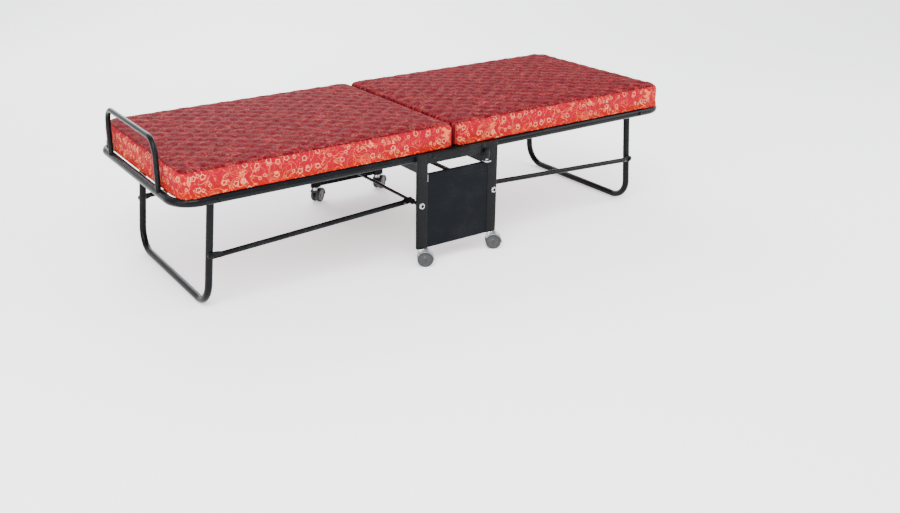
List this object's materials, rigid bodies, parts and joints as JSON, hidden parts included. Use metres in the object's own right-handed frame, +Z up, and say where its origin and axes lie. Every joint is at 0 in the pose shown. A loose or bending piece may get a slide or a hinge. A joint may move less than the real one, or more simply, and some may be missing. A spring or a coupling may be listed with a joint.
{
  "type": "folding cot",
  "caption": "Folding guest cot with two padded tube-frame halves that fold up on a wheeled centre stand, while linked legs swing in.",
  "frame": {"origin": "on the floor under the middle of the open cot", "axes": "+Z up, +X towards the foot end, away from the head guard, +Y across the cot towards its far side"},
  "size_m": [1.83, 0.756, 0.5105],
  "materials": {
    "black_enamel": "gloss black enamel",
    "black_sheet": "satin blue-black enamel on sheet",
    "bright_steel": "bright zinc plated steel",
    "grey_rubber": "grey rubber tread",
    "dark_plastic": "moulded black plastic",
    "plywood": "bare plywood",
    "red_cloth": "red printed cotton with a flowered pattern"
  },
  "bodies": {
    "stand": {"post_near_head": "black_enamel", "rod_nut_near_head": "bright_steel", "pivot_pin_near_head": "black_enamel", "post_near_foot": "black_enamel", "rod_nut_near_foot": "bright_steel", "pivot_pin_near_foot": "black_enamel", "top_bar_near": "black_enamel", "panel_near": "black_sheet", "post_far_head": "black_enamel", "rod_nut_far_head": "bright_steel", "pivot_pin_far_head": "black_enamel", "post_far_foot": "black_enamel", "rod_nut_far_foot": "bright_steel", "pivot_pin_far_foot": "black_enamel", "top_bar_far": "black_enamel", "panel_far": "black_sheet", "cross_member_head": "black_enamel", "cross_rod_head": "black_enamel", "cross_member_foot": "black_enamel", "cross_rod_foot": "black_enamel", "tie_rod": "black_enamel", "lock_sleeve": "black_enamel"},
    "head_half": {"head_frame_tube": "black_enamel", "head_inner_tube": "black_enamel", "head_cross_bar": "black_enamel", "head_board": "plywood", "head_mattress": "red_cloth", "head_guard": "black_enamel"},
    "head_leg": {"head_leg_tube": "black_enamel", "head_leg_axle": "black_enamel", "head_leg_bolt_near": "black_enamel", "head_leg_bolt_far": "black_enamel"},
    "head_link_near": {"head_link_near": "black_enamel", "head_link_near_bolt": "black_enamel"},
    "head_link_far": {"head_link_far": "black_enamel", "head_link_far_bolt": "black_enamel"},
    "foot_half": {"foot_frame_tube": "black_enamel", "foot_inner_tube": "black_enamel", "foot_cross_bar": "black_enamel", "foot_board": "plywood", "foot_mattress": "red_cloth"},
    "foot_leg": {"foot_leg_tube": "black_enamel", "foot_leg_axle": "black_enamel", "foot_leg_bolt_near": "black_enamel", "foot_leg_bolt_far": "black_enamel"},
    "foot_link_near": {"foot_link_near": "black_enamel", "foot_link_near_bolt": "black_enamel"},
    "foot_link_far": {"foot_link_far": "black_enamel", "foot_link_far_bolt": "black_enamel"},
    "caster_near_head": {"caster_near_head_body": "dark_plastic"},
    "caster_near_head_wheels": {"caster_near_head_wheels": "grey_rubber"},
    "caster_near_foot": {"caster_near_foot_body": "dark_plastic"},
    "caster_near_foot_wheels": {"caster_near_foot_wheels": "grey_rubber"},
    "caster_far_head": {"caster_far_head_body": "dark_plastic"},
    "caster_far_head_wheels": {"caster_far_head_wheels": "grey_rubber"},
    "caster_far_foot": {"caster_far_foot_body": "dark_plastic"},
    "caster_far_foot_wheels": {"caster_far_foot_wheels": "grey_rubber"},
    "lock_plunger": {"lock_plunger": "bright_steel"}
  },
  "joints": [
    {"name": "head_fold", "type": "hinge", "parent": "stand", "child": "head_half", "pos_m": [-0.093, 0, 0.352], "axis": [0, 1, 0], "range_deg": [0, 90]},
    {"name": "head_leg_swing", "type": "hinge", "parent": "head_half", "child": "head_leg", "pos_m": [-0.785, 0, 0.348], "axis": [0, 1, 0], "range_deg": [-92, 0]},
    {"name": "head_link_near_swing", "type": "hinge", "parent": "stand", "child": "head_link_near", "pos_m": [-0.138, 0, 0.20094], "axis": [0, 1, 0], "range_deg": [0, 95.5]},
    {"name": "head_link_far_swing", "type": "hinge", "parent": "stand", "child": "head_link_far", "pos_m": [-0.138, 0, 0.20094], "axis": [0, 1, 0], "range_deg": [0, 95.5]},
    {"name": "foot_fold", "type": "hinge", "parent": "stand", "child": "foot_half", "pos_m": [0.093, 0, 0.352], "axis": [0, -1, 0], "range_deg": [0, 90]},
    {"name": "foot_leg_swing", "type": "hinge", "parent": "foot_half", "child": "foot_leg", "pos_m": [0.785, 0, 0.348], "axis": [0, -1, 0], "range_deg": [-92, 0]},
    {"name": "foot_link_near_swing", "type": "hinge", "parent": "stand", "child": "foot_link_near", "pos_m": [0.138, 0, 0.20094], "axis": [0, -1, 0], "range_deg": [0, 95.5]},
    {"name": "foot_link_far_swing", "type": "hinge", "parent": "stand", "child": "foot_link_far", "pos_m": [0.138, 0, 0.20094], "axis": [0, -1, 0], "range_deg": [0, 95.5]},
    {"name": "caster_near_head_swivel", "type": "hinge", "parent": "stand", "child": "caster_near_head", "pos_m": [-0.133, -0.3415, 0.055], "axis": [0, 0, 1], "continuous": true},
    {"name": "caster_near_head_roll", "type": "hinge", "parent": "caster_near_head", "child": "caster_near_head_wheels", "pos_m": [-0.12282, -0.34786, 0.025], "axis": [-0.5299, -0.848, 0], "continuous": true},
    {"name": "caster_near_foot_swivel", "type": "hinge", "parent": "stand", "child": "caster_near_foot", "pos_m": [0.133, -0.3415, 0.055], "axis": [0, 0, 1], "continuous": true},
    {"name": "caster_near_foot_roll", "type": "hinge", "parent": "caster_near_foot", "child": "caster_near_foot_wheels", "pos_m": [0.14318, -0.34786, 0.025], "axis": [-0.5299, -0.848, 0], "continuous": true},
    {"name": "caster_far_head_swivel", "type": "hinge", "parent": "stand", "child": "caster_far_head", "pos_m": [-0.133, 0.3415, 0.055], "axis": [0, 0, 1], "continuous": true},
    {"name": "caster_far_head_roll", "type": "hinge", "parent": "caster_far_head", "child": "caster_far_head_wheels", "pos_m": [-0.12282, 0.34786, 0.025], "axis": [0.5299, -0.848, 0], "continuous": true},
    {"name": "caster_far_foot_swivel", "type": "hinge", "parent": "stand", "child": "caster_far_foot", "pos_m": [0.133, 0.3415, 0.055], "axis": [0, 0, 1], "continuous": true},
    {"name": "caster_far_foot_roll", "type": "hinge", "parent": "caster_far_foot", "child": "caster_far_foot_wheels", "pos_m": [0.14318, 0.34786, 0.025], "axis": [0.5299, -0.848, 0], "continuous": true},
    {"name": "lock_pull", "type": "slide", "parent": "stand", "child": "lock_plunger", "axis": [0, 0, 1], "range_m": [-0.005, 0], "stiffness_N_per_m": 300, "springref_m": 0.004}
  ],
  "couplings": [
    {"joint": "head_leg_swing", "follows": "head_fold", "ratio": -1.0156},
    {"joint": "head_link_near_swing", "follows": "head_fold", "ratio": 1.0588},
    {"joint": "head_link_far_swing", "follows": "head_fold", "ratio": 1.0588},
    {"joint": "foot_leg_swing", "follows": "foot_fold", "ratio": -1.0156},
    {"joint": "foot_link_near_swing", "follows": "foot_fold", "ratio": 1.0588},
    {"joint": "foot_link_far_swing", "follows": "foot_fold", "ratio": 1.0588}
  ]
}
